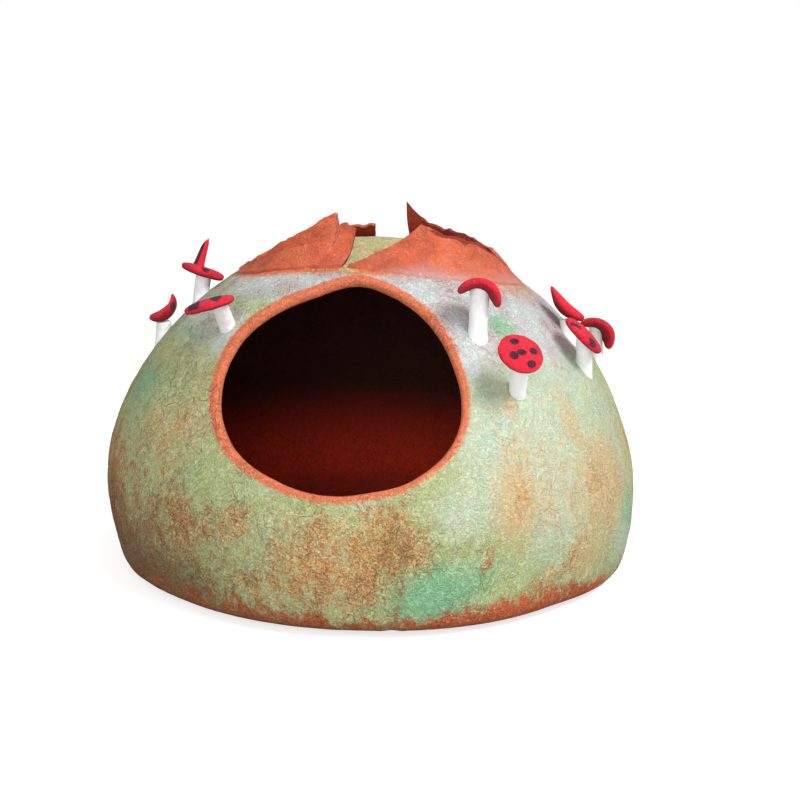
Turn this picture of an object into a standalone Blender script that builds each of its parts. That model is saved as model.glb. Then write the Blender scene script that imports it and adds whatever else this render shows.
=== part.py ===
"""Felt cat cave with a cut-open crown and eight toadstools.

Metres, +Z up. The opening faces -Y and the origin is the middle of the flat base.
Azimuth 0 is the front (-Y) and +90 is the right (+X). Latitudes and azimuths are seen from
the heart, a point on the axis inside the cave.
"""

from collections import namedtuple
from math import acos, asin, atan2, cos, degrees, exp, hypot, pi, radians, sin, sqrt

import bmesh
import bpy
from mathutils import Vector
from mathutils.bvhtree import BVHTree

# ---- Driving dimensions -------------------------------------------------------------------

HEART = Vector((0, 0, 0.120))
FELT = 0.009            # thickness of the felted wall
GAP = 0.0005            # between a piece and the shell that it touches
GAP_ALONG_STEM = 0.0014  # at either end of a stem, which meets what it touches at a slant
CLEAR = 0.060           # a start for casting, well below a cap or above the shell
BASE_ROUNDING = 0.036   # how softly the side turns into the flat base

ENTRANCE_LATITUDE = 26
RIM_ROUNDING = 0.0035

PETAL_FELT = 0.0034
PETAL_ROOT_SHARE = 0.22  # thickness of a petal's felted-in root, as a share of PETAL_FELT
PETAL_ROWS = 5

CAP_FELT = 0.0092

SHELL_SEGMENTS = 52
SHELL_ROWS = 30
BASE_EDGE = (-37, -19)   # latitudes between which the shell's faces are halved
CAP_SEGMENTS = 20
CAP_ROWS = 10
STEM_SIDES = 12
STEM_ROWS = 4

# The side profile: distance from the heart at each latitude.
Profile = namedtuple("Profile", "latitude radius")
PROFILE = [
    Profile(-50, 0.2720),
    Profile(-30, 0.2675),
    Profile(-10, 0.2534),
    Profile(10, 0.2312),
    Profile(30, 0.2110),
    Profile(50, 0.1966),
    Profile(70, 0.1860),
    Profile(90, 0.1825),
]

# The entrance: its angular radius round its own axis, by the clock, 0 at the top.
Rim = namedtuple("Rim", "clock radius")
RIM = [
    Rim(0, 30.0),
    Rim(20, 28.2),
    Rim(45, 26.7),
    Rim(75, 26.6),
    Rim(112, 28.8),
    Rim(140, 27.4),
    Rim(165, 25.6),
    Rim(205, 25.4),
    Rim(235, 27.6),
    Rim(265, 28.9),
    Rim(292, 29.1),
    Rim(315, 27.4),
    Rim(338, 26.8),
]

# Soft hollows (depth above 0) and swellings (below 0) of the hand-felted wall. Width runs
# along the latitude and height across it, both in degrees, before the turn by tilt.
Dent = namedtuple("Dent", "azimuth latitude width height tilt depth")
DENTS = [
    Dent(-84, -24, 26, 9, 0, 0.0050),
    Dent(-66, -40, 26, 10, 0, -0.0040),
    Dent(-78, 2, 22, 14, 0, -0.0025),
    Dent(78, -34, 20, 10, 0, -0.0025),
    Dent(84, 6, 24, 16, 0, 0.0025),
    Dent(9, -12, 6, 12, 0, 0.0050),
    Dent(-30, -18, 16, 8, 24, 0.0040),
    Dent(38, -12, 15, 9, -30, 0.0040),
    Dent(52, -30, 9, 7, 0, 0.0045),
    Dent(-46, 20, 9, 8, 30, 0.0035),
    Dent(140, -10, 30, 12, 15, 0.0045),
    Dent(-150, 15, 26, 12, -20, 0.0040),
]

# Petals of the cut crown: where each rib leaves the shell and where its tip stands.
Rib = namedtuple("Rib", "root_azimuth root_latitude edge_azimuth edge_radius edge_height")
PETALS = {
    "petal_front_left": [
        Rib(-11, 62, -5, 0.0700, 0.3200),
        Rib(-17, 61, -12, 0.0700, 0.3240),
        Rib(-24, 60, -20, 0.0710, 0.3216),
        Rib(-28, 60, -20, 0.0750, 0.3345),
        Rib(-36, 58, -26, 0.0845, 0.3270),
        Rib(-46, 56, -35, 0.0910, 0.3185),
        Rib(-57, 53, -46, 0.0980, 0.3075),
        Rib(-70, 50, -60, 0.1060, 0.2910),
        Rib(-82, 50, -75, 0.1130, 0.2800),
        Rib(-92, 50, -87, 0.1180, 0.2765),
    ],
    "petal_front_right": [
        Rib(-8, 62, 44, 0.0700, 0.3230),
        Rib(8, 60, 50, 0.0735, 0.3185),
        Rib(24, 58, 58, 0.0800, 0.3130),
        Rib(41, 55, 66, 0.0900, 0.3095),
        Rib(57, 52, 73, 0.0990, 0.3050),
        Rib(73, 49, 81, 0.1085, 0.2960),
        Rib(88, 46, 88, 0.1210, 0.2790),
    ],
    "petal_back_right": [
        Rib(91, 46, 97, 0.1200, 0.2800),
        Rib(103, 49, 112, 0.1100, 0.2930),
        Rib(115, 51, 123, 0.1000, 0.3005),
        Rib(127, 53, 130, 0.0880, 0.3055),
        Rib(138, 54, 138, 0.0850, 0.3055),
        Rib(148, 56, 144, 0.0800, 0.3085),
        Rib(156, 58, 151, 0.0740, 0.3155),
        Rib(164, 61, 158, 0.0600, 0.3318),
    ],
    "petal_back_left": [
        Rib(-172, 63, -171, 0.0600, 0.3075),
        Rib(-164, 61, -163, 0.0640, 0.3080),
        Rib(-154, 59, -153, 0.0700, 0.3060),
        Rib(-141, 56, -140, 0.0780, 0.3030),
        Rib(-128, 53, -126, 0.0890, 0.2970),
        Rib(-114, 50, -113, 0.1010, 0.2880),
        Rib(-99, 48, -98, 0.1150, 0.2790),
    ],
}

# Toadstools: where the stem stands, how it leans, its length to the cap's middle plane and
# its width; which way the cap faces and runs, its length and breadth, and how far its middle
# lies past the stem along its length; how far its ends and sides droop, in degrees (below 0
# they curl up); how high its back edge is pinched up; and how much its length tapers to a
# point, at the far end, or at the near one where that's below zero.
Toadstool = namedtuple(
    "Toadstool",
    "azimuth latitude lean_azimuth lean_up reach stem_width faces_azimuth faces_up"
    " runs_azimuth runs_up length breadth past droop_ends droop_sides pinch taper",
)
TOADSTOOLS = [
    Toadstool(-83, 37.3, 50, 78, 0.0255, 0.0145, 121, 71, 95, -18, 0.041, 0.036, -0.001, 0, 0, 0.033, 0),
    Toadstool(-82.5, 23.6, 43, 82, 0.0201, 0.0145, -84, 48, 100, 42, 0.036, 0.034, 0.004, -62, -30, 0, 0.8),
    Toadstool(-40, 34.8, -5, 46, 0.0357, 0.0145, -94, 73, 102, 16, 0.044, 0.042, -0.008, 5, 5, 0, 0),
    Toadstool(40, 35, 9, 80, 0.0464, 0.0162, 137, 66, 95, -20, 0.047, 0.038, 0.003, 76, 0, 0, 0),
    Toadstool(44.5, 20, 6, 50, 0.0515, 0.0145, 27, 42, 93, -24, 0.039, 0.035, 0, 8, 8, 0, 0),
    Toadstool(82, 29, -112, 80, 0.027, 0.0130, 112, 45, 87, -42, 0.041, 0.034, 0, -22, 20, 0, -0.7),
    Toadstool(76.5, 21, -3, 65, 0.0361, 0.0145, 89, 47, 87, -43, 0.042, 0.036, 0, 8, 6, 0, 0),
    Toadstool(98, 17.3, -81, 84, 0.0425, 0.0115, 120, 46, 87, -46, 0.044, 0.037, 0.0095, 68, 0, 0, 0),
]
# The pinch lies this far along the cap, is this wide, starts this far out towards the back
# edge, all as shares of half the cap, and leans by a share of its height.
Pinch = namedtuple("Pinch", "along width start lean")
PINCH = Pinch(-0.36, 0.21, 0.58, -0.02)

Felt = namedtuple("Felt", "red green blue roughness")
FELTS = {
    "felt_green": Felt(0.47, 0.53, 0.42, 0.95),
    "felt_orange": Felt(0.80, 0.27, 0.13, 0.95),
    "felt_red": Felt(0.70, 0.02, 0.05, 0.90),
    "felt_white": Felt(0.88, 0.87, 0.86, 0.95),
}


# ---- The cave's surface -------------------------------------------------------------------


def through(xs, ys, x):
    """The smooth curve through a table's points, held straight past its ends."""
    last = len(xs) - 2
    k = max(i for i in range(last + 1) if i == 0 or xs[i] <= x)
    span = xs[k + 1] - xs[k]
    t = (x - xs[k]) / span

    def slope(i):
        low, high = max(i - 1, 0), min(i + 1, last + 1)
        return (ys[high] - ys[low]) / (xs[high] - xs[low])

    if not 0 <= t <= 1:
        end = k if t < 0 else k + 1
        return ys[end] + slope(end) * (x - xs[end])
    t2, t3 = t * t, t * t * t
    return (
        (2 * t3 - 3 * t2 + 1) * ys[k]
        + (t3 - 2 * t2 + t) * span * slope(k)
        + (3 * t2 - 2 * t3) * ys[k + 1]
        + (t3 - t2) * span * slope(k + 1)
    )


def dent_depth(azimuth, latitude):
    depth = 0
    for dent in DENTS:
        across = (azimuth - dent.azimuth + 180) % 360 - 180
        across *= cos(radians(latitude))
        along = latitude - dent.latitude
        turn = radians(dent.tilt)
        u = (across * cos(turn) + along * sin(turn)) / dent.width
        v = (along * cos(turn) - across * sin(turn)) / dent.height
        depth += dent.depth * exp(-u * u - v * v)
    return depth


def shell_radius(azimuth, latitude):
    """Distance from the heart to the outside of the shell, its flat base included."""
    side = through([p.latitude for p in PROFILE], [p.radius for p in PROFILE], latitude)
    side -= dent_depth(azimuth, latitude)
    if latitude > -1:
        return side
    base = HEART.z / sin(radians(-latitude))
    overlap = max(BASE_ROUNDING - abs(side - base), 0) / BASE_ROUNDING
    return min(side, base) - overlap * overlap * BASE_ROUNDING / 4


def direction(azimuth, latitude):
    a, b = radians(azimuth), radians(latitude)
    return Vector((sin(a) * cos(b), -cos(a) * cos(b), sin(b)))


def angles(way):
    """The azimuth and latitude of a direction."""
    way = way.normalized()
    return degrees(atan2(way.x, -way.y)), degrees(asin(way.z))


def on_shell(azimuth, latitude, lift=0.0):
    """The point of the shell's outside at these angles, moved out along its normal by lift."""
    point = HEART + direction(azimuth, latitude) * shell_radius(azimuth, latitude)
    return point + shell_normal(azimuth, latitude) * lift if lift else point


def shell_normal(azimuth, latitude, step=0.5):
    across = on_shell(azimuth + step, latitude) - on_shell(azimuth - step, latitude)
    along = on_shell(azimuth, latitude + step) - on_shell(azimuth, latitude - step)
    return across.cross(along).normalized()


def height_over_shell(point):
    way = point - HEART
    return way.length - shell_radius(*angles(way))


# ---- Making objects -----------------------------------------------------------------------


def clear_scene():
    for item in list(bpy.data.objects):
        bpy.data.objects.remove(item, do_unlink=True)


def make_felt(name):
    felt = FELTS[name]
    material = bpy.data.materials.new(name)
    material.use_nodes = True
    shader = material.node_tree.nodes["Principled BSDF"]
    shader.inputs["Base Color"].default_value = (felt.red, felt.green, felt.blue, 1)
    shader.inputs["Roughness"].default_value = felt.roughness
    shader.inputs["Metallic"].default_value = 0.0
    material.diffuse_color = (felt.red, felt.green, felt.blue, 1)
    return material


def finish(form, name, material, collection):
    """Turns a bmesh into a named, smooth-shaded object."""
    mesh = bpy.data.meshes.new(name)
    form.to_mesh(mesh)
    form.free()
    mesh.shade_smooth()
    mesh.materials.append(material)
    item = bpy.data.objects.new(name, mesh)
    collection.objects.link(item)
    return item


def face_outwards(sheet):
    """Turns an open sheet over if its first face looks towards the heart."""
    face = sheet.data.polygons[0]
    if face.normal.dot(face.center - HEART) < 0:
        sheet.data.flip_normals()


# ---- Shell --------------------------------------------------------------------------------


def rim_radius(clock):
    """The entrance's angular radius at a clock angle, from the table run round its ends."""
    table = [Rim(r.clock + turn, r.radius) for turn in (-360, 0, 360) for r in RIM]
    return through([r.clock for r in table], [r.radius for r in table], clock % 360)


def entrance_frame():
    """The way out of the entrance, and its top and right as seen from outside."""
    outward = direction(0, ENTRANCE_LATITUDE)
    right = Vector((1, 0, 0))
    return outward, outward.cross(right), right


def open_directions():
    """A sphere of directions from the heart, open at the entrance."""
    form = bmesh.new()
    bmesh.ops.create_uvsphere(form, u_segments=SHELL_SEGMENTS, v_segments=SHELL_ROWS, radius=1)
    pole = max(form.verts, key=lambda vert: vert.co.z)
    bmesh.ops.delete(form, geom=[pole], context="VERTS")
    outward, top, right = entrance_frame()
    first = pi / SHELL_ROWS
    for vert in form.verts:
        clock = atan2(vert.co.x, vert.co.y)
        start = radians(rim_radius(degrees(clock)))
        share = (acos(max(-1, min(1, vert.co.z))) - first) / (pi - first)
        polar = start + (pi - start) * share
        vert.co = outward * cos(polar) + (top * cos(clock) + right * sin(clock)) * sin(polar)
    return form


def make_shell(material, collection):
    """The directions cast out onto the cave's surface, with the felt's thickness inwards."""
    form = open_directions()
    low, high = BASE_EDGE
    near_base_edge = [
        edge
        for edge in form.edges
        if all(low < angles(vert.co)[1] < high for vert in edge.verts)
    ]
    bmesh.ops.subdivide_edges(form, edges=near_base_edge, cuts=1, use_grid_fill=True)
    for vert in form.verts:
        vert.co = on_shell(*angles(vert.co))
        if abs(vert.co.z) < 1e-6:
            vert.co.z = 0
    shell = finish(form, "cave_shell", material, collection)
    wall = shell.modifiers.new("wall", "SOLIDIFY")
    wall.thickness = FELT
    wall.offset = -1
    wall.use_even_offset = True
    rounding = shell.modifiers.new("rim", "BEVEL")
    rounding.width = RIM_ROUNDING
    rounding.segments = 2
    rounding.limit_method = "ANGLE"
    rounding.angle_limit = radians(50)
    return shell


# ---- Petals -------------------------------------------------------------------------------


def rib_point(rib, share):
    """A rib leaves the shell along its surface, then bends up to its tip."""
    root = on_shell(rib.root_azimuth, rib.root_latitude, GAP)
    flat = direction(rib.edge_azimuth, 0) * rib.edge_radius
    tip = Vector((flat.x, flat.y, rib.edge_height))
    normal = shell_normal(rib.root_azimuth, rib.root_latitude)
    chord = tip - root
    along = chord - normal * chord.dot(normal)
    knee = root + along * 0.55
    back = 1 - share
    return root * back * back + knee * (2 * share * back) + tip * share * share


def make_petal(name, ribs, material, collection):
    """A sheet lofted over its ribs, feathered where it is felted into the shell."""
    form = bmesh.new()
    columns = 2 * len(ribs) - 1
    bmesh.ops.create_grid(form, x_segments=columns - 1, y_segments=PETAL_ROWS - 1, size=1)
    roots = []
    for vert in form.verts:
        column = (vert.co.x + 1) / 2 * (len(ribs) - 1)
        share = (vert.co.y + 1) / 2
        left = min(int(column + 1e-4), len(ribs) - 2)
        blend = column - left
        vert.co = rib_point(ribs[left], share).lerp(rib_point(ribs[left + 1], share), blend)
        low = GAP - height_over_shell(vert.co)
        if low > 0:
            vert.co += (vert.co - HEART).normalized() * low
        if share < 1e-4:
            roots.append(vert.index)
    inner = [index for index in range(len(form.verts)) if index not in roots]
    petal = finish(form, name, material, collection)
    face_outwards(petal)
    full = petal.vertex_groups.new(name="full_thickness")
    full.add(inner, 1.0, "REPLACE")
    sheet = petal.modifiers.new("felt", "SOLIDIFY")
    sheet.thickness = PETAL_FELT
    sheet.offset = 1
    sheet.vertex_group = full.name
    sheet.thickness_vertex_group = PETAL_ROOT_SHARE
    return petal


# ---- Toadstools ---------------------------------------------------------------------------


def bend(along, lift, half, angle):
    """Bends a strip of this half length so that its end turns down by angle, in radians."""
    if abs(angle) < 1e-3:
        return along, lift
    radius = half / angle
    turn = along / radius
    return (radius + lift) * sin(turn), (radius + lift) * cos(turn) - radius


def stem_axis(stool):
    return direction(stool.lean_azimuth, stool.lean_up)


def stem_head(stool):
    return on_shell(stool.azimuth, stool.latitude) + stem_axis(stool) * stool.reach


def cap_axes(stool):
    """The cap's length, breadth and top as unit vectors."""
    top = direction(stool.faces_azimuth, stool.faces_up)
    length = direction(stool.runs_azimuth, stool.runs_up)
    length = (length - top * length.dot(top)).normalized()
    return length, top.cross(length), top


def cap_point(stool, u, v, side):
    """A point of the cap: u and v run from -1 to 1 over its disc, side from -1 to 1."""
    half_length, half_breadth = stool.length / 2, stool.breadth / 2
    tip = max(u * stool.taper, 0) * abs(u)
    slim = 1 - tip
    x = u * half_length * (1 + 0.15 * tip)
    y, lift = v * half_breadth * slim, side * CAP_FELT / 2 * sqrt(slim)
    outer = max(v - PINCH.start, 0) / (1 - PINCH.start)
    pinched = stool.pinch * outer * exp(-(((u - PINCH.along) / PINCH.width) ** 6))
    y, lift = bend(y, lift, half_breadth, radians(stool.droop_sides))
    x, lift = bend(x, lift, half_length, radians(stool.droop_ends))
    length, breadth, top = cap_axes(stool)
    x += stool.past + pinched * PINCH.lean
    return stem_head(stool) + length * x + breadth * y + top * (lift + pinched)


def make_cap(stool, name, material, collection):
    """A felt disc with a full round edge, curled as it dried."""
    form = bmesh.new()
    bmesh.ops.create_uvsphere(form, u_segments=CAP_SEGMENTS, v_segments=CAP_ROWS, radius=1)
    for vert in form.verts:
        u, v = vert.co.x, vert.co.y
        flat = min(hypot(u, v), 1)
        side = (1 - flat**3) ** (1 / 3)
        vert.co = cap_point(stool, u, v, side if vert.co.z > 0 else -side)
    return finish(form, name, material, collection)


def surface_of(item):
    """The object's own faces, before its modifiers, for casting lines onto them."""
    mesh = item.data
    return BVHTree.FromPolygons([v.co for v in mesh.vertices], [p.vertices for p in mesh.polygons])


def reaches(surface, starts, way):
    """How far each start is from the surface that way; one that misses goes as far as the rest."""
    found = [surface.ray_cast(start, way)[3] for start in starts]
    most = max(distance for distance in found if distance is not None)
    return [most if distance is None else distance for distance in found]


def make_stem(stool, name, material, collection, shell, cap):
    """A felt post, cut to the shell at its foot and to the cap's underside at its head.

    Under a cap that curls up, whose underside bulges, the head is cut square.
    """
    axis = stem_axis(stool)
    origin = on_shell(stool.azimuth, stool.latitude)
    right = axis.cross(Vector((0, 1, 0))).normalized()
    back = axis.cross(right)
    radius = stool.stem_width / 2
    form = bmesh.new()
    bmesh.ops.create_cone(
        form, cap_ends=True, segments=STEM_SIDES, radius1=radius, radius2=radius, depth=2
    )
    sides = [e for e in form.edges if abs(e.verts[0].co.z - e.verts[1].co.z) > 1]
    bmesh.ops.subdivide_edges(form, edges=sides, cuts=STEM_ROWS - 1, use_grid_fill=True)
    lines = [origin + right * vert.co.x + back * vert.co.y for vert in form.verts]
    ups = reaches(surface_of(cap), [line - axis * CLEAR for line in [origin, *lines]], axis)
    ups = [min(ups)] * len(lines) if stool.droop_ends < 0 else ups[1:]
    downs = reaches(surface_of(shell), [line + axis * CLEAR for line in lines], -axis)
    for vert, line, up, down in zip(form.verts, lines, ups, downs):
        foot = line + axis * (CLEAR - down + GAP_ALONG_STEM)
        head = line + axis * (up - CLEAR - GAP_ALONG_STEM)
        vert.co = foot.lerp(head, (vert.co.z + 1) / 2)
    return finish(form, name, material, collection)


# ---- The whole ----------------------------------------------------------------------------


def main():
    clear_scene()
    collection = bpy.data.collections.new("felt_cat_cave")
    bpy.context.scene.collection.children.link(collection)
    felts = {name: make_felt(name) for name in FELTS}
    shell = make_shell(felts["felt_green"], collection)
    for name, ribs in PETALS.items():
        make_petal(name, ribs, felts["felt_orange"], collection)
    for number, stool in enumerate(TOADSTOOLS, start=1):
        cap = make_cap(stool, f"toadstool_cap_{number}", felts["felt_red"], collection)
        stem_name = f"toadstool_stem_{number}"
        make_stem(stool, stem_name, felts["felt_white"], collection, shell, cap)


main()
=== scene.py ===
"""Looks of the felt cat cave: its mottled wool wall, petals and toadstools, and a pale stage.

Metres, +Z up. The entrance faces -Y. Azimuth 0 is the front and +90 is the right (+X).
Latitudes and azimuths are in degrees, seen from the heart, a point on the axis inside the cave.
"""

from collections import namedtuple
from math import asin, atan2, cos, degrees, exp, hypot, pi, radians, sin, sqrt

import bmesh
import bpy
import numpy as np
from bpy.props import FloatProperty, FloatVectorProperty, IntProperty, PointerProperty
from bpy.types import Operator, Panel, PropertyGroup
from mathutils import Matrix, Vector, noise
from mathutils.bvhtree import BVHTree


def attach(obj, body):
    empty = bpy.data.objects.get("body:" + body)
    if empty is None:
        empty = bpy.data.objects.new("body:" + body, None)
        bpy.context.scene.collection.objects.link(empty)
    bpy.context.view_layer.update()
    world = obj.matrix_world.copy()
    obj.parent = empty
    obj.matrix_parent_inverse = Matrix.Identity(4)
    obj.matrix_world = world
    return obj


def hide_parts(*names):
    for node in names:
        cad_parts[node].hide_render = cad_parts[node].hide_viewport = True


bl_info = {
    "name": "Felt Cat Cave",
    "version": (1, 0, 0),
    "blender": (4, 5, 0),
    "location": "View3D > Sidebar > Felt Cave",
    "description": "Dresses a wet-felted cat cave with mottled wool, petals and toadstools",
    "category": "Object",
}

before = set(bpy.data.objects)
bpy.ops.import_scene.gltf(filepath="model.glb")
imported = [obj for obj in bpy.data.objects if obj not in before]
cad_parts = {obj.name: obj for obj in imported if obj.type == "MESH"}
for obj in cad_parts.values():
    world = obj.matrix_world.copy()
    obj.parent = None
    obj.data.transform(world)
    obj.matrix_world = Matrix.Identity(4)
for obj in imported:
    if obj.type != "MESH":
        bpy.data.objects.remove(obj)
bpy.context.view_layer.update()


def table(kind, *rows):
    """Each row of numbers as one of this kind."""
    return [kind(*row) for row in rows]


# ---- The cave's form ----------------------------------------------------------------------

HEART = Vector((0, 0, 0.120))
BASE_ROUNDING = 0.036
ENTRANCE_LATITUDE = 26
SHELL_REACH = 0.225      # how far the entrance's edge is from the heart
RIM_ORANGE = 2.6          # millimetres of orange wool beyond the rim, on average
RIM_ORANGE_CLOCK = radians(320)  # where it reaches furthest
CALM_FROM = 0.002         # below this height the base is flat, and the lumps start above it
CALM_OVER = 0.012
LINING_MM = -8            # what the distance from the rim counts as where the lining begins
ROLL_ROUNDNESS = 0.8      # below 1 the rim's roll is fuller than a half circle
ROW_SPREAD = 1.08         # above 1 the outside rows lie closer near the rim

# The wall's outline: how far its outside is from the heart at each latitude.
Profile = namedtuple("Profile", "latitude radius")
PROFILE = table(
    Profile,
    (-50, 0.2720), (-30, 0.2675), (-10, 0.2534), (10, 0.2312), (30, 0.2110), (50, 0.1966),
    (70, 0.1860), (90, 0.1825),
)

# The entrance: its angular radius round its own axis, clockwise from 0 at the top.
Rim = namedtuple("Rim", "clock radius")
RIM = table(
    Rim,
    (0, 30.0), (20, 28.2), (45, 26.7), (75, 26.6), (112, 28.8), (140, 27.4), (165, 25.6),
    (205, 25.4), (235, 27.6), (265, 28.9), (292, 29.1), (315, 27.4), (338, 26.8),
)

# Lumps of the wall: how many to a metre, and their share of the height.
WALL_LUMPS = [(42, 0.6), (95, 0.35), (190, 0.25)]

# Soft hollows (depth above 0) and swellings (below 0) of the hand-felted wall.
Dent = namedtuple("Dent", "azimuth latitude width height depth tilt", defaults=[0])
DENTS = table(
    Dent,
    (-84, -24, 26, 9, 0.0050), (-66, -40, 26, 10, -0.0040), (-78, 2, 22, 14, -0.0025),
    (78, -34, 20, 10, -0.0025), (84, 6, 24, 16, 0.0025), (9, -12, 6, 12, 0.0050),
    (-30, -18, 16, 8, 0.0040, 24), (38, -12, 15, 9, 0.0040, -30), (52, -30, 9, 7, 0.0045),
    (-46, 20, 9, 8, 0.0035, 30), (140, -10, 30, 12, 0.0045, 15), (-150, 15, 26, 12, 0.0040, -20),
)

CREASE_FAR = 0.15         # a crease this far off isn't felt
CREASE_LIP = 0.35         # wool pushed up beside a crease: its share of the depth, and how far off
CREASE_LIP_AWAY = 1.7
CREASE_END = 0.35         # how deep a crease still is at its two ends

# Creases felted into the wall: from one place to another, how wide and how deep in metres.
Crease = namedtuple("Crease", "azimuth latitude to_azimuth to_latitude width depth")
CREASES = table(
    Crease,
    (14.0, -8, 13.5, -16, 0.0042, 0.0022), (13.5, -16, 13.0, -27, 0.0052, 0.0026),
    (9.0, 0.5, 11.5, -5.5, 0.0034, 0.0014), (11.8, -1, 14.0, -8, 0.0036, 0.0018),
    (2.0, -2, 4.5, -5, 0.0030, 0.0010), (-3.0, -3, -0.5, -7, 0.0030, 0.0009),
    (58.5, -16, 58.5, -30, 0.0055, 0.0034), (40.0, -21, 47.0, -15, 0.0040, 0.0012),
    (47.0, -21, 54.0, -16, 0.0040, 0.0012), (-22, -14, -12, -19, 0.0060, 0.0010),
    (-60, -8, -52, -16, 0.0070, 0.0012), (120, -6, 132, -14, 0.0060, 0.0014),
    (-118, 2, -128, -8, 0.0060, 0.0012), (172, 20, 178, 6, 0.0060, 0.0012),
)

# Petals of the cut crown: where each rib leaves the wall and where its tip stands.
Rib = namedtuple("Rib", "root_azimuth root_latitude edge_azimuth edge_radius edge_height")
PETALS = {
    "petal_front_left": table(
        Rib,
        (-11, 62, -5, 0.0700, 0.3200), (-17, 61, -12, 0.0700, 0.3240),
        (-24, 60, -20, 0.0710, 0.3216), (-28, 60, -20, 0.0750, 0.3345),
        (-36, 58, -26, 0.0845, 0.3270), (-46, 56, -35, 0.0910, 0.3185),
        (-57, 53, -46, 0.0980, 0.3075), (-70, 50, -60, 0.1060, 0.2910),
        (-82, 50, -75, 0.1130, 0.2800), (-92, 50, -87, 0.1180, 0.2765),
    ),
    "petal_front_right": table(
        Rib,
        (-8, 62, 44, 0.0700, 0.3230), (8, 60, 50, 0.0735, 0.3185), (24, 58, 58, 0.0800, 0.3130),
        (41, 55, 66, 0.0900, 0.3095), (57, 52, 73, 0.0990, 0.3050), (73, 49, 81, 0.1085, 0.2960),
        (88, 46, 88, 0.1210, 0.2790),
    ),
    "petal_back_right": table(
        Rib,
        (91, 46, 97, 0.1200, 0.2800), (103, 49, 112, 0.1100, 0.2930),
        (115, 51, 123, 0.1000, 0.3005), (127, 53, 130, 0.0880, 0.3055),
        (138, 54, 138, 0.0850, 0.3055), (148, 56, 144, 0.0800, 0.3085),
        (156, 58, 151, 0.0740, 0.3155), (164, 61, 158, 0.0600, 0.3318),
    ),
    "petal_back_left": table(
        Rib,
        (-172, 63, -171, 0.0600, 0.3075), (-164, 61, -163, 0.0640, 0.3080),
        (-154, 59, -153, 0.0700, 0.3060), (-141, 56, -140, 0.0780, 0.3030),
        (-128, 53, -126, 0.0890, 0.2970), (-114, 50, -113, 0.1010, 0.2880),
        (-99, 48, -98, 0.1150, 0.2790),
    ),
}
# Folds pressed into a petal: from one rib and share of its length to another.
Fold = namedtuple("Fold", "petal column share to_column to_share width columns_wide depth")
FOLDS = table(
    Fold,
    ("petal_front_left", 2.2, 0.70, 6.4, 0.84, 0.07, 6, 0.0028),
    ("petal_front_left", 2.4, 0.90, 2.9, 0.35, 0.05, 6, 0.0018),
    ("petal_front_right", 1.2, 0.80, 3.6, 0.62, 0.08, 6, 0.0018),
    ("petal_front_right", 3.4, 0.90, 4.4, 0.30, 0.07, 5, 0.0016),
    ("petal_back_left", 2.5, 0.85, 3.6, 0.35, 0.07, 5, 0.0018),
    ("petal_back_right", 3.4, 0.85, 4.0, 0.30, 0.07, 5, 0.0018),
)
# The flat cut of each petal: width, length and area in metres.
Cut = namedtuple("Cut", "width length area")
# The rolled border, painted in the dark inner colour as painted shade: past what share of a petal's
# length and from which column it shows.
ROLLED_PAST = {"petal_front_right": 0.91, "petal_back_right": 0.94}
ROLLED_BLEND = 0.04       # how softly it begins, as a share of the length
ROLLED_FROM = 0.6
PETAL_SINK = 0.0010       # how deep a petal's root lies in the wall it grows from
PETAL_ROOT_SHARE = 0.10   # thickness of the root, as a share of the petal's
PETAL_KNEE = 0.55         # where a rib bends up, as a share of its run along the wall
PETAL_TEAR = 0.0026       # how uneven the torn tip is, and its small nicks, in metres
PETAL_NICKS = 0.0007
PETAL_EDGE = 0.0012       # how much its cut edge is rounded, where it turns more than the angle
PETAL_EDGE_ANGLE = radians(55)
PETAL_ROWS = 30           # faces along a petal, and across each gap between two ribs
PETAL_COLUMNS_A_RIB = 12

# Where each stem stands and leans, then how its cap faces, runs, measures and droops.
Toadstool = namedtuple(
    "Toadstool",
    "azimuth latitude lean_azimuth lean_up reach stem_width faces_azimuth faces_up"
    " runs_azimuth runs_up length breadth past droop_ends droop_sides pinch taper",
)
TOADSTOOLS = table(
    Toadstool,
    (-83, 37.3, 50, 78, 0.0255, 0.0145, 121, 71, 95, -18, 0.041, 0.036, -0.001, 0, 0, 0.033, 0),
    (-82.5, 23.6, 43, 82, 0.0201, 0.0145, -84, 48, 100, 42, 0.036, 0.034, 0.004, -62, -30, 0, 0.8),
    (-40, 34.8, -5, 46, 0.0357, 0.0145, -94, 73, 102, 16, 0.044, 0.042, -0.008, 5, 5, 0, 0),
    (40, 35, 9, 80, 0.0464, 0.0162, 137, 66, 95, -20, 0.047, 0.038, 0.003, 76, 0, 0, 0),
    (44.5, 20, 6, 50, 0.0515, 0.0145, 27, 42, 93, -24, 0.039, 0.035, 0, 8, 8, 0, 0),
    (82, 29, -112, 80, 0.027, 0.0130, 112, 45, 87, -42, 0.041, 0.034, 0, -22, 20, 0, -0.7),
    (76.5, 21, -3, 65, 0.0361, 0.0145, 89, 47, 87, -43, 0.042, 0.036, 0, 8, 6, 0, 0),
    (98, 17.3, -81, 84, 0.0425, 0.0115, 120, 46, 87, -46, 0.044, 0.037, 0.0095, 68, 0, 0, 0),
)
# Where along a cap its edge is pinched up, how widely, from how far out and how it leans.
Pinch = namedtuple("Pinch", "along width start lean")
PINCH = Pinch(-0.36, 0.21, 0.58, -0.02)
CAP_FELT = 0.0092
CAP_LUMPS = [(90, 0.0006), (280, 0.00028)]    # how many to a metre, and how high in metres
STEM_LUMPS = [(110, 0.06), (290, 0.03)]       # and on a stem as a share of its girth
STEM_FLARE = 0.06         # how much wider a stem is at its foot, and over what share of it
STEM_FLARE_SHARE = 0.10
CLEAR = 0.060             # a start for casting, well below a cap or above the wall
STEM_SINK = 0.0012        # how far a stem reaches into the wall and the cap

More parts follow.
